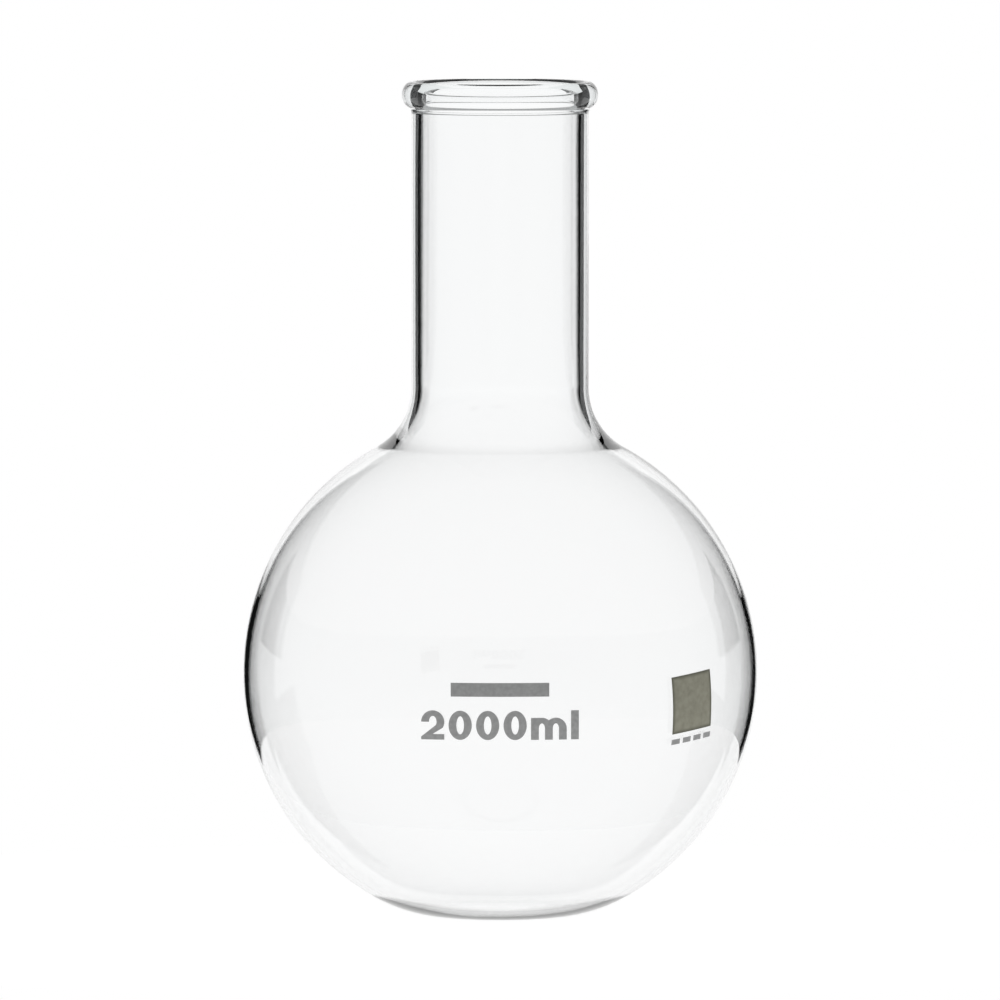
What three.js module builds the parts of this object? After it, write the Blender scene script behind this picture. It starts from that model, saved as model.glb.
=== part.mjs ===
// A 2000 ml round bottom flask with a beaded rim: one hollow piece of borosilicate glass, open at
// the mouth, and the fired-on enamel marks that lie on the front of its bulb.
//
// Millimetres, +Z up. The origin is the centre of the small flat that the flask rests on. The
// capacity faces -Y, and the marking patch is round to the right of it, towards +X.

import * as THREE from 'three';

// The glass.
const BULB_RADIUS = 83;
const BULB_CENTRE = 78.8;
const REST_RADIUS = 16;
const NECK_RADIUS = 28.6;
const NECK_START = 170.9;
const TOTAL_HEIGHT = 269.5;
const BULB_WALL = 1.9;
const NECK_WALL = 3.2;
const FLOOR = 2.2;
const BEAD_OVERHANG = 3;
const BEAD_HEIGHT = 8.4;

// How finely the round shapes of the glass are divided.
const TURN_SEGMENTS = 48;
const BULB_STEPS = 13;
const BLEND_STEPS = 4;
const BEAD_STEPS = 10;

// The enamel: its thickness, the gap it keeps to the glass, and the longest straight step in it.
const ENAMEL = 0.35;
const ENAMEL_GAP = 0.3;
const ENAMEL_STEP = 3;

// The capacity, in plain bold characters on one baseline. Their upright strokes are the wider.
const BASELINE = 62.6;
const STROKE_ACROSS = 2.5;
const STROKE_UP = 1.8;
const FIGURE_WIDTH = 7.4;
const FIGURE_HEIGHT = 9.4;
const LETTER_WIDTH = 11.4;
const LETTER_HEIGHT = 7.1;
const CHARACTER_GAP = 1.35;

// The plain bar above the capacity, in the place of a name.
const BAR_WIDTH = 31.4;
const BAR_HEIGHT = 4.4;
const BAR_MIDDLE = 78.7;

// The patch to write on and the row of dashes below it, which lean together.
const PATCH_SIDE = 18.5;
const PATCH_MIDDLE = 73;
const PATCH_TURN = THREE.MathUtils.degToRad(48.3);
const PATCH_LEAN = THREE.MathUtils.degToRad(6);
const DASH_COUNT = 4;
const DASH_HEIGHT = 1.7;
const DASH_GAP = 1.4;
const DASH_DROP = 2.6;

const borosilicate = new THREE.MeshStandardMaterial({ color: 0xf4f8fa, roughness: 0.03, metalness: 0 });
const greyEnamel = new THREE.MeshStandardMaterial({ color: 0x8f9090, roughness: 0.55, metalness: 0 });
const oliveEnamel = new THREE.MeshStandardMaterial({ color: 0x8a887a, roughness: 0.85, metalness: 0 });

// Points along an arc of a circle or of an upright oval, both ends included.
function arc(centre, radiusAcross, radiusUp, from, to, steps) {
  const points = [];
  for (let i = 0; i <= steps; i += 1) {
    const angle = THREE.MathUtils.lerp(from, to, i / steps);
    points.push(new THREE.Vector2(
      centre.x + radiusAcross * Math.cos(angle),
      centre.y + radiusUp * Math.sin(angle)));
  }
  return points;
}

// One skin of the flask, from the middle of its flat up to the neck: the flat, a heel that runs
// smoothly into the bulb, the bulb, and a hollow shoulder that runs smoothly into the neck. The
// radii of the heel and the shoulder follow from touching both of their neighbours.
function skin(bulbRadius, neckRadius, floor) {
  const bulbCentre = new THREE.Vector2(0, BULB_CENTRE);

  const drop = BULB_CENTRE - floor;
  const heelRadius = (bulbRadius ** 2 - REST_RADIUS ** 2 - drop ** 2) / (2 * (bulbRadius - drop));
  const heelCentre = new THREE.Vector2(REST_RADIUS, floor + heelRadius);
  const heelEnd = heelCentre.clone().sub(bulbCentre).angle() - 2 * Math.PI;

  const rise = NECK_START - BULB_CENTRE;
  const shoulderRadius = (neckRadius ** 2 + rise ** 2 - bulbRadius ** 2) / (2 * (bulbRadius - neckRadius));
  const shoulderCentre = new THREE.Vector2(neckRadius + shoulderRadius, NECK_START);
  const bulbEnd = shoulderCentre.clone().sub(bulbCentre).angle();

  const heel = arc(heelCentre, heelRadius, heelRadius, -Math.PI / 2, heelEnd, BLEND_STEPS);
  const bulb = arc(bulbCentre, bulbRadius, bulbRadius, heelEnd, bulbEnd, BULB_STEPS);
  const neckEnd = Math.PI + bulbEnd;
  const shoulder = arc(shoulderCentre, shoulderRadius, shoulderRadius, neckEnd, Math.PI, BLEND_STEPS);
  return [new THREE.Vector2(0, floor), ...heel, ...bulb.slice(1), ...shoulder.slice(1)];
}

// The rolled bead at the mouth: a half oval that leaves the outside of the neck, and a quarter
// oval that goes over the top and runs straight down into the bore.
function bead() {
  const halfHeight = BEAD_HEIGHT / 2;
  const centre = new THREE.Vector2(NECK_RADIUS, TOTAL_HEIGHT - halfHeight);
  const top = Math.PI / 2;
  return [
    ...arc(centre, BEAD_OVERHANG, halfHeight, -top, top, BEAD_STEPS),
    ...arc(centre, NECK_WALL, halfHeight, top, Math.PI, BEAD_STEPS / 2).slice(1),
  ];
}

// The whole section of the glass, turned about its axis: up the outside, round the bead and
// down the inside.
function glass() {
  const outside = skin(BULB_RADIUS, NECK_RADIUS, 0);
  const inside = skin(BULB_RADIUS - BULB_WALL, NECK_RADIUS - NECK_WALL, FLOOR);
  const section = [...outside, ...bead(), ...inside.reverse()];
  return new THREE.LatheGeometry(section, TURN_SEGMENTS).rotateX(Math.PI / 2);
}

// Lays a flat mark on the bulb. It is drawn in X and Y, with its thickness along +Z, and every
// point of it is moved straight towards the bulb and then round the bulb's axis by the turn.
function wrap(geometry, middle, turn) {
  const axis = new THREE.Vector3(0, 0, 1);
  const position = geometry.attributes.position;
  for (let i = 0; i < position.count; i += 1) {
    const across = position.getX(i);
    const up = position.getY(i) + middle - BULB_CENTRE;
    const radius = BULB_RADIUS + ENAMEL_GAP + position.getZ(i);
    const out = Math.sqrt(radius ** 2 - across ** 2 - up ** 2);
    const spot = new THREE.Vector3(across, -out, up + BULB_CENTRE).applyAxisAngle(axis, turn);
    position.setXYZ(i, ...spot);
  }
  geometry.computeVertexNormals();
  return geometry;
}

// A right-angled field of enamel, divided finely enough to follow the bulb.
function field(width, height) {
  const columns = Math.ceil(width / ENAMEL_STEP);
  const rows = Math.ceil(height / ENAMEL_STEP);
  return new THREE.BoxGeometry(width, height, ENAMEL, columns, rows, 1).translate(0, 0, ENAMEL / 2);
}

// A figure two: a foot, a slant and a round bowl that is open at the lower left.
function two() {
  const outer = FIGURE_WIDTH / 2;
  const bowlHeight = FIGURE_HEIGHT - outer;
  const slantStart = THREE.MathUtils.degToRad(-30);
  const shape = new THREE.Shape();
  shape.lineTo(FIGURE_WIDTH, 0);
  shape.lineTo(FIGURE_WIDTH, STROKE_UP);
  shape.lineTo(FIGURE_WIDTH / 2, STROKE_UP);
  shape.absarc(outer, bowlHeight, outer, slantStart, Math.PI, false);
  shape.absellipse(outer, bowlHeight, outer - STROKE_ACROSS, outer - STROKE_UP, Math.PI, slantStart, true);
  shape.lineTo(0, STROKE_UP / 2);
  return shape;
}

// A nought: an upright oval ring.
function nought() {
  const halfWidth = FIGURE_WIDTH / 2;
  const halfHeight = FIGURE_HEIGHT / 2;
  const shape = new THREE.Shape();
  shape.absellipse(halfWidth, halfHeight, halfWidth, halfHeight, 0, 2 * Math.PI);
  const hole = new THREE.Path();
  const holeWidth = halfWidth - STROKE_ACROSS;
  const holeHeight = halfHeight - STROKE_UP;
  hole.absellipse(halfWidth, halfHeight, holeWidth, holeHeight, 0, 2 * Math.PI);
  shape.holes.push(hole);
  return shape;
}

// A small m: a stem that stands up square, and two round arches that meet in a valley.
function letterM() {
  const pitch = (LETTER_WIDTH - STROKE_ACROSS) / 2;
  const outer = (pitch + STROKE_ACROSS) / 2;
  const inner = outer - STROKE_ACROSS;
  const archHeight = LETTER_HEIGHT - outer;
  const valley = Math.acos(pitch / (2 * outer));
  const shape = new THREE.Shape();
  shape.lineTo(STROKE_ACROSS, 0);
  for (const middle of [outer, outer + pitch]) {
    shape.absellipse(middle, archHeight, inner, outer - STROKE_UP, Math.PI, 0, true);
    shape.lineTo(middle + inner, 0);
    shape.lineTo(middle + outer, 0);
  }
  shape.absarc(outer + pitch, archHeight, outer, 0, Math.PI - valley, false);
  shape.absarc(outer, archHeight, outer, valley, Math.PI / 2, false);
  shape.lineTo(0, LETTER_HEIGHT);
  return shape;
}

// A small l: one stem.
function letterL() {
  const shape = new THREE.Shape();
  shape.lineTo(STROKE_ACROSS, 0);
  shape.lineTo(STROKE_ACROSS, FIGURE_HEIGHT);
  shape.lineTo(0, FIGURE_HEIGHT);
  return shape;
}

function named(name, geometry, material) {
  const mesh = new THREE.Mesh(geometry, material);
  mesh.name = name;
  return mesh;
}

// The capacity, 2000 ml, centred on the front of the bulb.
function capacity() {
  const characters = [
    ['capacity_2', two, FIGURE_WIDTH],
    ['capacity_0_first', nought, FIGURE_WIDTH],
    ['capacity_0_second', nought, FIGURE_WIDTH],
    ['capacity_0_third', nought, FIGURE_WIDTH],
    ['capacity_m', letterM, LETTER_WIDTH],
    ['capacity_l', letterL, STROKE_ACROSS],
  ];
  const widths = characters.reduce((sum, [, , width]) => sum + width, 0);
  const group = new THREE.Group();
  let left = -(widths + CHARACTER_GAP * (characters.length - 1)) / 2;
  for (const [name, draw, width] of characters) {
    const flat = new THREE.ExtrudeGeometry(draw(), { depth: ENAMEL, bevelEnabled: false });
    group.add(named(name, wrap(flat.translate(left, 0, 0), BASELINE, 0), greyEnamel));
    left += width + CHARACTER_GAP;
  }
  return group;
}

// The patch to write on, and the dashes in a row below it.
function marking() {
  const place = (flat) => wrap(flat.rotateZ(PATCH_LEAN), PATCH_MIDDLE, PATCH_TURN);
  const group = new THREE.Group();
  group.add(named('marking_patch', place(field(PATCH_SIDE, PATCH_SIDE)), oliveEnamel));
  const pitch = (PATCH_SIDE + DASH_GAP) / DASH_COUNT;
  const height = -PATCH_SIDE / 2 - DASH_DROP;
  for (let i = 0; i < DASH_COUNT; i += 1) {
    const across = (i - (DASH_COUNT - 1) / 2) * pitch;
    const dash = field(pitch - DASH_GAP, DASH_HEIGHT).translate(across, height, 0);
    group.add(named(`grade_dash_${i + 1}`, place(dash), greyEnamel));
  }
  return group;
}

const flask = new THREE.Group();
flask.add(named('glass', glass(), borosilicate));
flask.add(named('plain_bar', wrap(field(BAR_WIDTH, BAR_HEIGHT), BAR_MIDDLE, 0), greyEnamel));
flask.add(capacity());
flask.add(marking());

export default flask;
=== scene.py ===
"""A 2000 ml round bottom flask of clear glass with printed enamel marks, in a white studio.

Metres, in the CAD model's frame: +Z is up the neck, and the capacity faces -Y.
"""

import math

import bmesh
import bpy
from mathutils import Matrix, Vector


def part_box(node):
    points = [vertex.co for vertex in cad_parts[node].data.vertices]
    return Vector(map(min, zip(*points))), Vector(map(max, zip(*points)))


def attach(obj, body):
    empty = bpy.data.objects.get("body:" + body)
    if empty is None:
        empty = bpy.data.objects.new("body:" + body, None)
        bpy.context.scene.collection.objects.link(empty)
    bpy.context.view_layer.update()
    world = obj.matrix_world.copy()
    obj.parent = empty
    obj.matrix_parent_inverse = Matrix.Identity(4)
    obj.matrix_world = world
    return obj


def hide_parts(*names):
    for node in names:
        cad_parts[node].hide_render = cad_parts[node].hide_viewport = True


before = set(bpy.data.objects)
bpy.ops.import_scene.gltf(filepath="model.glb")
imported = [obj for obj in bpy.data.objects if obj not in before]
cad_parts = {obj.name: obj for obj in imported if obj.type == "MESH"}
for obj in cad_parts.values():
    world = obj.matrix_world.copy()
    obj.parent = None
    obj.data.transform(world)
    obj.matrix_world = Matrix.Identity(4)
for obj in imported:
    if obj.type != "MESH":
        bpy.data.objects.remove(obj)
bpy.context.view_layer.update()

MM = 0.001

# The glass, as in the CAD model.
_, GLASS_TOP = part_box("glass")
TOTAL_HEIGHT = GLASS_TOP.z
BULB_RADIUS = 83 * MM
BULB_CENTRE = 78.8 * MM
REST_RADIUS = 16 * MM
NECK_RADIUS = 28.6 * MM
NECK_START = 170.9 * MM
BULB_WALL = 1.9 * MM
NECK_WALL = 3.2 * MM
FLOOR = 2.2 * MM
BEAD_OVERHANG = 3 * MM
BEAD_HEIGHT = 8.4 * MM
UNEVENNESS = 0.12 * MM

# How finely the glass is divided, and how near the axis a point of its section counts as on it.
TURN_SEGMENTS = 256
ARC_STEP = math.radians(1.5)
FLAT_STEPS = 6
NECK_STEPS = 40
FILLET_STEPS = 8
AXIS_TOLERANCE = 1e-9

# The enamel marks, as in the CAD model but as thin as print. The patch's darker edge is a share
# of its side.
ENAMEL = 0.06 * MM
ENAMEL_LIFT = 0.012 * MM
ENAMEL_STEP = 1.2 * MM
BASELINE = 62.6 * MM
STROKE_ACROSS = 2.5 * MM
STROKE_UP = 1.8 * MM
FIGURE_WIDTH = 7.4 * MM
FIGURE_HEIGHT = 9.4 * MM
LETTER_WIDTH = 11.4 * MM
LETTER_HEIGHT = 7.1 * MM
CHARACTER_GAP = 1.35 * MM
BAR_WIDTH = 31.4 * MM
BAR_HEIGHT = 4.4 * MM
BAR_MIDDLE = 78.7 * MM
PATCH_SIDE = 18.5 * MM
PATCH_MIDDLE = 73 * MM
PATCH_TURN = math.radians(48.3)
PATCH_LEAN = math.radians(6)
PATCH_EDGE = 0.08
DASH_COUNT = 4
DASH_HEIGHT = 1.7 * MM
DASH_GAP = 1.4 * MM
DASH_DROP = 2.6 * MM

# The camera, and what it looks at. The frame is as wide as the picture at the flask's axis.
CAMERA_DISTANCE = 6
CAMERA_HEIGHT = 0.478
AIM_HEIGHT = 0.1345
FRAME_WIDTH = 0.3225

# The studio, with the cards measured from the line that the camera looks along. Only the top of
# the bulb's flags is a height on the flask's axis.
TABLE_RADIUS = 0.31
TABLE_SEGMENTS = 96
TABLE_DROP = 0.0002
BACKDROP_SIZE = 4.6
BACKDROP_BEHIND = 4
FLAG_BEHIND = 0.62
FLAG_STEPS = 32
NECK_FLAG_LOW = 0.02
NECK_FLAG_HIGH = 0.5
BULB_FLAG_TOP = 0.165
BULB_FLAG_TIP = math.radians(-32)
TIP_SHARPNESS = 4

# How far the glass bends the light that the black flags hide, and the most that the bulb does.
BULB_BEND = (math.radians(11), math.radians(40))
NECK_BEND = (math.radians(24), math.radians(65))
BULB_MOST_BEND = math.radians(22)

# The world's light, which changes from below to above over a soft horizon.
LIGHT_BELOW = 0.9
LIGHT_ABOVE = 0.35
HORIZON = 0.35


# --- shapes -----------------------------------------------------------------------------------


def arc(centre, radius_across, radius_up, start, end):
    """Points along an arc of a circle or an upright oval, both ends included."""
    steps = max(2, math.ceil(abs(end - start) / ARC_STEP))
    points = []
    for i in range(steps + 1):
        angle = start + (end - start) * i / steps
        across = centre.x + radius_across * math.cos(angle)
        points.append(Vector((across, centre.y + radius_up * math.sin(angle))))
    return points


def ease_to_wall(tip, heading, wall_radius):
    """A curve that leaves the tip along its heading and runs smoothly into an upright wall."""
    corner = tip + heading * ((wall_radius - tip.x) / heading.x)
    end = corner + (corner - tip).length * Vector((0, math.copysign(1, heading.y)))
    points = []
    for i in range(FILLET_STEPS + 1):
        t = i / FILLET_STEPS
        points.append(tip * (1 - t) ** 2 + corner * 2 * t * (1 - t) + end * t ** 2)
    return points


def skin(bulb_radius, neck_radius, floor):
    """One side of the glass from the middle of its flat to the neck, smooth all the way."""
    bulb_centre = Vector((0, BULB_CENTRE))

    drop = BULB_CENTRE - floor
    heel_radius = (bulb_radius ** 2 - REST_RADIUS ** 2 - drop ** 2) / (2 * (bulb_radius - drop))
    heel_centre = Vector((REST_RADIUS, floor + heel_radius))
    heel_end = math.atan2(heel_centre.y - BULB_CENTRE, heel_centre.x)

    rise = NECK_START - BULB_CENTRE
    shoulder_radius = neck_radius ** 2 + rise ** 2 - bulb_radius ** 2
    shoulder_radius /= 2 * (bulb_radius - neck_radius)
    shoulder_centre = Vector((neck_radius + shoulder_radius, NECK_START))
    bulb_end = math.atan2(rise, shoulder_centre.x)

    flat = [Vector((REST_RADIUS * i / FLAT_STEPS, floor)) for i in range(FLAT_STEPS)]
    heel = arc(heel_centre, heel_radius, heel_radius, -math.pi / 2, heel_end)
    bulb = arc(bulb_centre, bulb_radius, bulb_radius, heel_end, bulb_end)
    shoulder = arc(shoulder_centre, shoulder_radius, shoulder_radius, math.pi + bulb_end, math.pi)
    return flat + heel + bulb[1:] + shoulder[1:]


def upright(radius, low, high):
    """Points up a straight wall, its ends left out."""
    return [Vector((radius, low + (high - low) * i / NECK_STEPS)) for i in range(1, NECK_STEPS)]


def bead():
    """The rolled bead, with a small fillet under it, over the top and down into the bore."""
    half = BEAD_HEIGHT / 2
    centre = Vector((NECK_RADIUS, TOTAL_HEIGHT - half))
    start = math.radians(-65)
    outer = arc(centre, BEAD_OVERHANG, half, start, math.pi / 2)
    inner = arc(centre, NECK_WALL, half, math.pi / 2, math.pi)
    under = Vector((BEAD_OVERHANG * math.sin(start), -half * math.cos(start)))
    fillet = ease_to_wall(outer[0], under, NECK_RADIUS)
    return fillet[:0:-1] + outer + inner[1:]


def glass_section():
    """The whole section, up the outside and down the inside, and where the inside starts."""
    bore_radius = NECK_RADIUS - NECK_WALL
    outside = skin(BULB_RADIUS, NECK_RADIUS, 0)
    inside = skin(BULB_RADIUS - BULB_WALL, bore_radius, FLOOR)
    rim = bead()
    outside += upright(NECK_RADIUS, NECK_START, rim[0].y)
    inside += upright(bore_radius, NECK_START, rim[-1].y)
    return outside + rim + inside[::-1], len(outside + rim)


def unevenness(turn, height):
    """How much the blown inside wanders from true: a few long waves, at most 1 either way."""
    climb = height / BULB_RADIUS
    waves = math.sin(2 * turn + 1.3 + 0.8 * climb)
    waves += 0.6 * math.sin(3 * turn - 0.7 + 2.1 * climb)
    waves += 0.5 * math.sin(turn + 4.2 * climb + 2.4)
    return waves / (1 + 0.6 + 0.5)


def fade(spot):
    """How much of the unevenness a point of the inside has: none on the axis or at the rim."""
    below_rim = TOTAL_HEIGHT - BEAD_HEIGHT / 2 - spot.y
    return min(1, spot.x / REST_RADIUS, below_rim / REST_RADIUS)


def lathe(name, section, first_inside):
    """A closed smooth mesh from a section that starts and ends on the axis."""
    mesh = bmesh.new()
    rings = []
    for index, spot in enumerate(section):
        if spot.x < AXIS_TOLERANCE:
            rings.append([mesh.verts.new((0, 0, spot.y))] * TURN_SEGMENTS)
            continue
        ring = []
        for i in range(TURN_SEGMENTS):
            turn = 2 * math.pi * i / TURN_SEGMENTS
            radius = spot.x
            if index >= first_inside:
                radius += UNEVENNESS * fade(spot) * unevenness(turn, spot.y)
            ring.append(mesh.verts.new((radius * math.cos(turn), radius * math.sin(turn), spot.y)))
        rings.append(ring)
    for low, high in zip(rings, rings[1:]):
        for i in range(TURN_SEGMENTS):
            j = (i + 1) % TURN_SEGMENTS
            corners = dict.fromkeys([low[i], low[j], high[j], high[i]])
            mesh.faces.new(corners).smooth = True
    bmesh.ops.recalc_face_normals(mesh, faces=mesh.faces)
    return object_from(name, mesh)


def object_from(name, mesh):
    """Turns a bmesh into an object in the scene."""
    data = bpy.data.meshes.new(name)
    mesh.to_mesh(data)
    mesh.free()
    piece = bpy.data.objects.new(name, data)
    bpy.context.scene.collection.objects.link(piece)
    return piece


def make_glass():
    """The flask itself, which stands for the CAD model's faceted one."""
    piece = lathe("flask_glass", *glass_section())
    piece.data.materials.append(borosilicate())
    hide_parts("glass")
    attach(piece, "root")


# --- enamel -----------------------------------------------------------------------------------


def two():
    """A figure two: a foot, a slant and a round bowl that is open at the lower left."""
    outer = FIGURE_WIDTH / 2
    middle = Vector((outer, FIGURE_HEIGHT - outer))
    slant = math.radians(-30)
    foot = [(0, 0), (FIGURE_WIDTH, 0), (FIGURE_WIDTH, STROKE_UP), (outer, STROKE_UP)]
    bowl = arc(middle, outer, outer, slant, math.pi)
    bowl += arc(middle, outer - STROKE_ACROSS, outer - STROKE_UP, math.pi, slant)
    return [[Vector(p) for p in foot] + bowl + [Vector((0, STROKE_UP / 2))]]


def nought():
    """A nought: an upright oval ring."""
    middle = Vector((FIGURE_WIDTH / 2, FIGURE_HEIGHT / 2))
    hole = middle - Vector((STROKE_ACROSS, STROKE_UP))
    turn = 2 * math.pi
    return [arc(middle, middle.x, middle.y, 0, turn)[:-1], arc(middle, hole.x, hole.y, 0, turn)[:-1]]


def letter_m():
    """A small m: a stem that stands up square, and two round arches that meet in a valley."""
    pitch = (LETTER_WIDTH - STROKE_ACROSS) / 2
    outer = (pitch + STROKE_ACROSS) / 2
    inner = outer - STROKE_ACROSS
    height = LETTER_HEIGHT - outer
    valley = math.acos(pitch / (2 * outer))
    points = [Vector((0, 0)), Vector((STROKE_ACROSS, 0))]
    for middle in (outer, outer + pitch):
        points += arc(Vector((middle, height)), inner, outer - STROKE_UP, math.pi, 0)
        points += [Vector((middle + inner, 0)), Vector((middle + outer, 0))]
    points += arc(Vector((outer + pitch, height)), outer, outer, 0, math.pi - valley)
    points += arc(Vector((outer, height)), outer, outer, valley, math.pi / 2)[1:]
    return [points + [Vector((0, LETTER_HEIGHT))]]


def rectangle(width, height):
    """A right-angled field, its lower left corner at the origin."""
    return [[Vector((0, 0)), Vector((width, 0)), Vector((width, height)), Vector((0, height))]]


def letter_l():
    """A small l: one stem."""
    return rectangle(STROKE_ACROSS, FIGURE_HEIGHT)


def filled(outlines):
    """A flat mesh that fills closed outlines, cut finely enough to follow the bulb."""
    mesh = bmesh.new()
    for outline in outlines:
        verts = [mesh.verts.new((p.x, p.y, 0)) for p in outline]
        for a, b in zip(verts, verts[1:] + verts[:1]):
            mesh.edges.new((a, b))
    bmesh.ops.triangle_fill(mesh, use_beauty=True, edges=mesh.edges)
    for axis in (0, 1):
        normal = Vector((1 - axis, axis, 0))
        low = min(v.co[axis] for v in mesh.verts)
        high = max(v.co[axis] for v in mesh.verts)
        for i in range(1, math.ceil((high - low) / ENAMEL_STEP)):
            everything = mesh.verts[:] + mesh.edges[:] + mesh.faces[:]
            place = normal * (low + i * ENAMEL_STEP)
            bmesh.ops.bisect_plane(mesh, geom=everything, plane_co=place, plane_no=normal)
    return mesh


def print_mark(name, outlines, corner, middle, turn, lean, material, slot):
    """Prints one mark on the bulb, in the place of the CAD node of the same name.

    The outlines are drawn from the corner, leant about the middle of their own plane, moved
    straight towards the bulb and then turned about the bulb's axis.
    """
    mesh = filled(outlines)
    flat = mesh.faces[:]
    raised = bmesh.ops.extrude_face_region(mesh, geom=flat)["geom"]
    for part in raised:
        if isinstance(part, bmesh.types.BMVert):
            part.co.z = ENAMEL
    uv = mesh.loops.layers.uv.new("print")
    width = max(v.co.x for v in mesh.verts)
    height = max(v.co.y for v in mesh.verts)
    for face in mesh.faces:
        for loop in face.loops:
            loop[uv].uv = (loop.vert.co.x / width, loop.vert.co.y / height)
    leant = Matrix.Rotation(lean, 3, "Z")
    turned = Matrix.Rotation(turn, 3, "Z")
    for vert in mesh.verts:
        spot = leant @ (vert.co + Vector((corner[0], corner[1], 0)))
        radius = BULB_RADIUS + ENAMEL_LIFT + spot.z
        rise = spot.y + middle - BULB_CENTRE
        out = math.sqrt(radius ** 2 - spot.x ** 2 - rise ** 2)
        vert.co = turned @ Vector((spot.x, -out, rise + BULB_CENTRE))
    bmesh.ops.recalc_face_normals(mesh, faces=mesh.faces)
    piece = object_from(f"print_{name}", mesh)
    piece.data.materials.append(material)
    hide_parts(name)
    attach(piece, "root")


def print_capacity(material):
    """The capacity, 2000 ml, centred on the front of the bulb, and the plain bar above it."""
    characters = [
        ("capacity_2", two(), FIGURE_WIDTH),
        ("capacity_0_first", nought(), FIGURE_WIDTH),
        ("capacity_0_second", nought(), FIGURE_WIDTH),
        ("capacity_0_third", nought(), FIGURE_WIDTH),
        ("capacity_m", letter_m(), LETTER_WIDTH),
        ("capacity_l", letter_l(), STROKE_ACROSS),
    ]
    widths = sum(width for _, _, width in characters)
    left = -(widths + CHARACTER_GAP * (len(characters) - 1)) / 2
    for name, outlines, width in characters:
        print_mark(name, outlines, (left, 0), BASELINE, 0, 0, material, "grey_enamel")
        left += width + CHARACTER_GAP
    corner = (-BAR_WIDTH / 2, -BAR_HEIGHT / 2)
    bar = rectangle(BAR_WIDTH, BAR_HEIGHT)
    print_mark("plain_bar", bar, corner, BAR_MIDDLE, 0, 0, material, "grey_enamel")


def print_marking(patch_material, dash_material):
    """The patch to write on, and the row of dashes below it."""
    place = (PATCH_MIDDLE, PATCH_TURN, PATCH_LEAN)
    corner = (-PATCH_SIDE / 2, -PATCH_SIDE / 2)
    patch = rectangle(PATCH_SIDE, PATCH_SIDE)
    print_mark("marking_patch", patch, corner, *place, patch_material, "olive_enamel")
    pitch = (PATCH_SIDE + DASH_GAP) / DASH_COUNT
    dash = rectangle(pitch - DASH_GAP, DASH_HEIGHT)
    low = -PATCH_SIDE / 2 - DASH_DROP - DASH_HEIGHT / 2
    for i in range(DASH_COUNT):
        corner = (i * pitch - PATCH_SIDE / 2, low)
        print_mark(f"grade_dash_{i + 1}", dash, corner, *place, dash_material, "grey_enamel")


# --- materials --------------------------------------------------------------------------------


def new_material(name):
    """A material with its node tree, its shader and its texture coordinates."""
    material = bpy.data.materials.new(name)
    material.use_nodes = True
    nodes = material.node_tree.nodes
    coordinates = nodes.new("ShaderNodeTexCoord")
    return material, nodes, material.node_tree.links, nodes["Principled BSDF"], coordinates


def noise(nodes, links, source, scale, detail):
    """Noise over the object's own coordinates, in waves per metre."""
    node = nodes.new("ShaderNodeTexNoise")
    node.inputs["Scale"].default_value = scale
    node.inputs["Detail"].default_value = detail
    links.new(source, node.inputs["Vector"])
    return node.outputs["Fac"]


def spread(nodes, links, source, low, high):
    """Stretches a noise, which is mostly between 0.3 and 0.7, over a range of values."""
    node = nodes.new("ShaderNodeMapRange")
    node.inputs["From Min"].default_value = 0.3
    node.inputs["From Max"].default_value = 0.7
    node.inputs["To Min"].default_value = low
    node.inputs["To Max"].default_value = high
    links.new(source, node.inputs["Value"])
    return node.outputs["Result"]


def bump(nodes, links, source, shader, distance):
    """Raises the surface by a height, in metres."""
    node = nodes.new("ShaderNodeBump")
    node.inputs["Distance"].default_value = distance
    links.new(source, node.inputs["Height"])
    links.new(node.outputs["Normal"], shader.inputs["Normal"])


def borosilicate():
    """Clear blown glass: faintly wavy, with a trace of colour where it is thick."""
    material, nodes, links, shader, coordinates = new_material("borosilicate")
    shader.inputs["Base Color"].default_value = (1, 1, 1, 1)
    shader.inputs["Roughness"].default_value = 0.0
    shader.inputs["IOR"].default_value = 1.474
    shader.inputs["Transmission Weight"].default_value = 1.0
    waves = noise(nodes, links, coordinates.outputs["Object"], 30, 1.0)
    bump(nodes, links, waves, shader, 0.05 * MM)
    absorption = nodes.new("ShaderNodeVolumeAbsorption")
    absorption.inputs["Color"].default_value = (0.82, 0.9, 0.92, 1)
    absorption.inputs["Density"].default_value = 12
    links.new(absorption.outputs["Volume"], nodes["Material Output"].inputs["Volume"])
    return material


def grey_enamel():
    """Fired-on screen print: satin, with a fine grain and a slightly uneven coat."""
    material, nodes, links, shader, coordinates = new_material("grey_enamel")
    place = coordinates.outputs["Object"]
    mix = nodes.new("ShaderNodeMix")
    mix.data_type = "RGBA"
    mix.inputs["A"].default_value = (0.3, 0.3, 0.3, 1)
    mix.inputs["B"].default_value = (0.39, 0.39, 0.39, 1)
    links.new(spread(nodes, links, noise(nodes, links, place, 900, 4), 0, 1), mix.inputs["Factor"])
    links.new(mix.outputs["Result"], shader.inputs["Base Color"])
    rough = spread(nodes, links, noise(nodes, links, place, 400, 3), 0.42, 0.6)
    links.new(rough, shader.inputs["Roughness"])
    bump(nodes, links, noise(nodes, links, place, 2600, 2), shader, 0.01 * MM)
    return material


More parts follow.
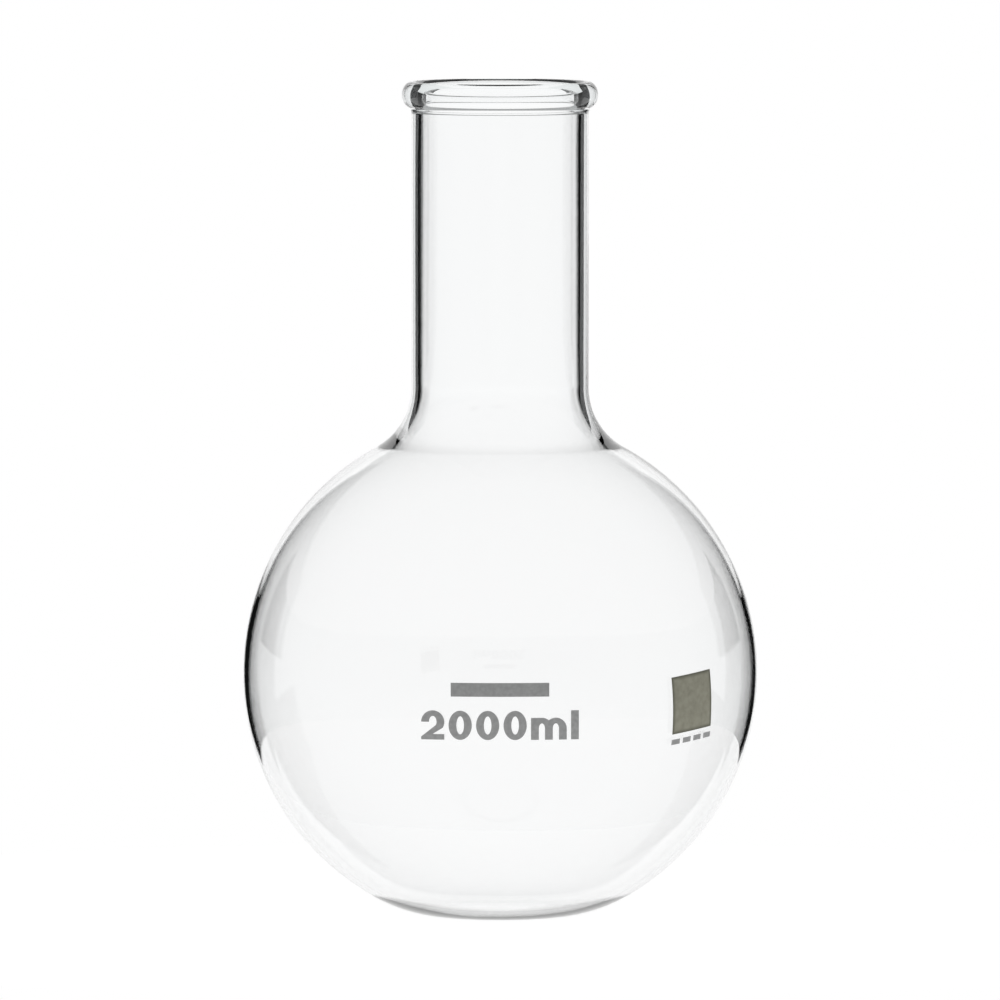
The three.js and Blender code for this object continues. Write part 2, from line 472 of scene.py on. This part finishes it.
def olive_enamel():
    """The chalky coat of the marking patch, darker in a band along its edges."""
    material, nodes, links, shader, coordinates = new_material("olive_enamel")
    place = coordinates.outputs["Object"]
    uv = nodes.new("ShaderNodeSeparateXYZ")
    links.new(coordinates.outputs["UV"], uv.inputs["Vector"])
    nearest = nodes.new("ShaderNodeMath")
    nearest.operation = "MINIMUM"
    for axis, socket in zip(("X", "Y"), nearest.inputs):
        off = nodes.new("ShaderNodeMath")
        off.operation = "PINGPONG"
        off.inputs[1].default_value = 0.5
        links.new(uv.outputs[axis], off.inputs[0])
        links.new(off.outputs[0], socket)
    inner = nodes.new("ShaderNodeMapRange")
    inner.interpolation_type = "SMOOTHSTEP"
    inner.inputs["From Max"].default_value = PATCH_EDGE
    links.new(nearest.outputs[0], inner.inputs["Value"])
    body = nodes.new("ShaderNodeMix")
    body.data_type = "RGBA"
    body.inputs["A"].default_value = (0.27, 0.262, 0.205, 1)
    body.inputs["B"].default_value = (0.345, 0.335, 0.265, 1)
    links.new(spread(nodes, links, noise(nodes, links, place, 500, 5), 0, 1), body.inputs["Factor"])
    coat = nodes.new("ShaderNodeMix")
    coat.data_type = "RGBA"
    coat.inputs["A"].default_value = (0.14, 0.14, 0.105, 1)
    links.new(inner.outputs["Result"], coat.inputs["Factor"])
    links.new(body.outputs["Result"], coat.inputs["B"])
    links.new(coat.outputs["Result"], shader.inputs["Base Color"])
    shader.inputs["Roughness"].default_value = 0.85
    bump(nodes, links, noise(nodes, links, place, 3000, 4), shader, 0.02 * MM)
    return material


# --- studio -----------------------------------------------------------------------------------


def glow(name, colour, strength):
    """A plain material that gives off light, for the studio's surfaces."""
    material = bpy.data.materials.new(name)
    material.use_nodes = True
    shader = material.node_tree.nodes["Principled BSDF"]
    shader.inputs["Base Color"].default_value = (*colour, 1)
    shader.inputs["Roughness"].default_value = 0.9
    shader.inputs["Specular IOR Level"].default_value = 0.0
    shader.inputs["Emission Color"].default_value = (1, 1, 1, 1)
    shader.inputs["Emission Strength"].default_value = strength
    return material


def card(name, corners, material):
    """A flat card in its own X and Y, from its corners."""
    mesh = bmesh.new()
    mesh.faces.new([mesh.verts.new((x, y, 0)) for x, y in corners])
    piece = object_from(name, mesh)
    piece.data.materials.append(material)
    return piece


def make_camera():
    """A long lens that looks a little down into the rim."""
    place = Vector((0, -CAMERA_DISTANCE, CAMERA_HEIGHT))
    look = Vector((0, 0, AIM_HEIGHT)) - place
    data = bpy.data.cameras.new("camera")
    data.sensor_width = 36
    data.lens = data.sensor_width * look.length / FRAME_WIDTH
    data.clip_end = 100
    camera = bpy.data.objects.new("camera", data)
    camera.location = place
    camera.rotation_euler = look.to_track_quat("-Z", "Y").to_euler()
    bpy.context.scene.collection.objects.link(camera)
    bpy.context.scene.camera = camera
    return camera


def stand_behind(piece, camera, behind):
    """Hangs a card square to the camera, this far behind the flask, so that it goes round with it.

    A camera further off than this one brings the card nearer to the flask, or in front of it.
    """
    piece.parent = camera
    piece.location.z = -math.hypot(CAMERA_DISTANCE, CAMERA_HEIGHT - AIM_HEIGHT) - behind


def make_backdrop(camera):
    """A wide lit white board far behind the flask."""
    half = BACKDROP_SIZE / 2
    corners = [(-half, -half), (half, -half), (half, half), (-half, half)]
    board = card("backdrop", corners, glow("backdrop_white", (0, 0, 0), 1.0))
    stand_behind(board, camera, BACKDROP_BEHIND)


def as_seen(height):
    """Where a height on the flask's axis comes on the flags, up from the line of sight."""
    return (height - AIM_HEIGHT) * (1 + FLAG_BEHIND / CAMERA_DISTANCE)


def beside(radius, bend):
    """How far out light lands on the flags when it grazes a radius and is bent by an angle."""
    return radius * (1 + FLAG_BEHIND / CAMERA_DISTANCE) + FLAG_BEHIND * math.tan(bend)


def bulb_flag():
    """The outline of a card that follows the bulb's edge, from a level cut down to a thin tip."""
    middle = Vector((0, as_seen(BULB_CENTRE)))
    rise = as_seen(BULB_FLAG_TOP) - middle.y
    edges = []
    for bend, tip_bend in ((BULB_BEND[0], BULB_MOST_BEND), (BULB_BEND[1], BULB_BEND[1])):
        start = math.asin(rise / beside(BULB_RADIUS, bend))
        edge = []
        for i in range(FLAG_STEPS + 1):
            along = i / FLAG_STEPS
            turn = start + (BULB_FLAG_TIP - start) * along
            radius = beside(BULB_RADIUS, bend + (tip_bend - bend) * along ** TIP_SHARPNESS)
            edge.append(middle + radius * Vector((math.cos(turn), math.sin(turn))))
        edges.append(edge)
    return edges[0] + edges[1][::-1]


def neck_flag():
    """The outline of an upright card for the neck, which bends light more than the bulb does."""
    near, far = [beside(NECK_RADIUS, bend) for bend in NECK_BEND]
    flat = rectangle(far - near, NECK_FLAG_HIGH - NECK_FLAG_LOW)[0]
    return [p + Vector((near, NECK_FLAG_LOW)) for p in flat]


def make_flags(camera):
    """Black cards just outside the picture, as clear glass is photographed on white.

    They make its edges dark. Each side has one for the bulb and one for the neck.
    """
    black = glow("flag_black", (0.01, 0.01, 0.01), 0)
    for part, outline in (("bulb", bulb_flag()), ("neck", neck_flag())):
        for hand, side in (("left", -1), ("right", 1)):
            flag = card(f"flag_{part}_{hand}", [(side * p.x, p.y) for p in outline], black)
            stand_behind(flag, camera, FLAG_BEHIND)


def make_table():
    """The pale round table that the flask stands on."""
    turns = [2 * math.pi * i / TABLE_SEGMENTS for i in range(TABLE_SEGMENTS)]
    corners = [(TABLE_RADIUS * math.cos(a), TABLE_RADIUS * math.sin(a)) for a in turns]
    table = card("table", corners, glow("table_white", (0.1, 0.1, 0.1), 0.98))
    table.location.z = -TABLE_DROP


def make_world():
    """Soft light from everywhere, the brightest from below, as over a pale table."""
    world = bpy.data.worlds.new("studio")
    world.use_nodes = True
    nodes = world.node_tree.nodes
    links = world.node_tree.links
    direction = nodes.new("ShaderNodeTexCoord")
    split = nodes.new("ShaderNodeSeparateXYZ")
    links.new(direction.outputs["Generated"], split.inputs["Vector"])
    strength = nodes.new("ShaderNodeMapRange")
    strength.interpolation_type = "SMOOTHSTEP"
    strength.inputs["From Min"].default_value = -HORIZON
    strength.inputs["From Max"].default_value = HORIZON
    strength.inputs["To Min"].default_value = LIGHT_BELOW
    strength.inputs["To Max"].default_value = LIGHT_ABOVE
    links.new(split.outputs["Z"], strength.inputs["Value"])
    background = nodes["Background"]
    background.inputs["Color"].default_value = (0.98, 1, 1, 1)
    links.new(strength.outputs["Result"], background.inputs["Strength"])
    bpy.context.scene.world = world


def make_studio():
    """The camera, the light and everything that the glass shows."""
    bpy.context.scene.view_settings.view_transform = "Standard"
    camera = make_camera()
    make_world()
    make_backdrop(camera)
    make_flags(camera)
    make_table()


make_studio()
make_glass()
grey = grey_enamel()
print_capacity(grey)
print_marking(olive_enamel(), grey)
